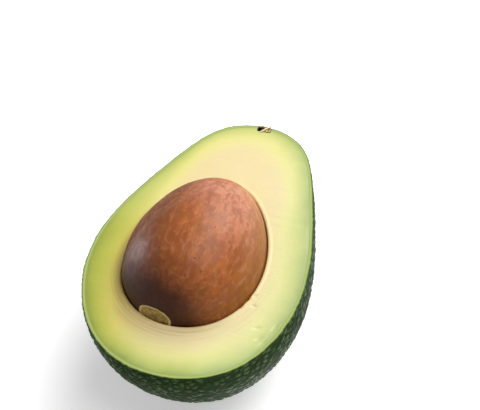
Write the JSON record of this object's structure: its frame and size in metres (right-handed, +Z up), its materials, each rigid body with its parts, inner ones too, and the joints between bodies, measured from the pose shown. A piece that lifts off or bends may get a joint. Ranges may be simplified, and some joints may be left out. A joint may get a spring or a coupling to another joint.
{
  "type": "avocado half",
  "caption": "Half an avocado cut lengthwise, lying on its round back with the large pit still in its hollow.",
  "frame": {"origin": "middle of the half's footprint, on the surface that its round back rests on", "axes": "+Y along the fruit towards its stem end, +Z up out of the level cut face, +X across the fruit"},
  "size_m": [0.0728, 0.104, 0.0617],
  "materials": {
    "skin": "satin",
    "flesh": "satin",
    "pit": "satin",
    "stem_stub": "matte"
  },
  "bodies": {
    "root": {"skin": "skin", "flesh": "flesh", "pit": "pit", "stem_stub": "stem_stub"}
  },
  "joints": []
}
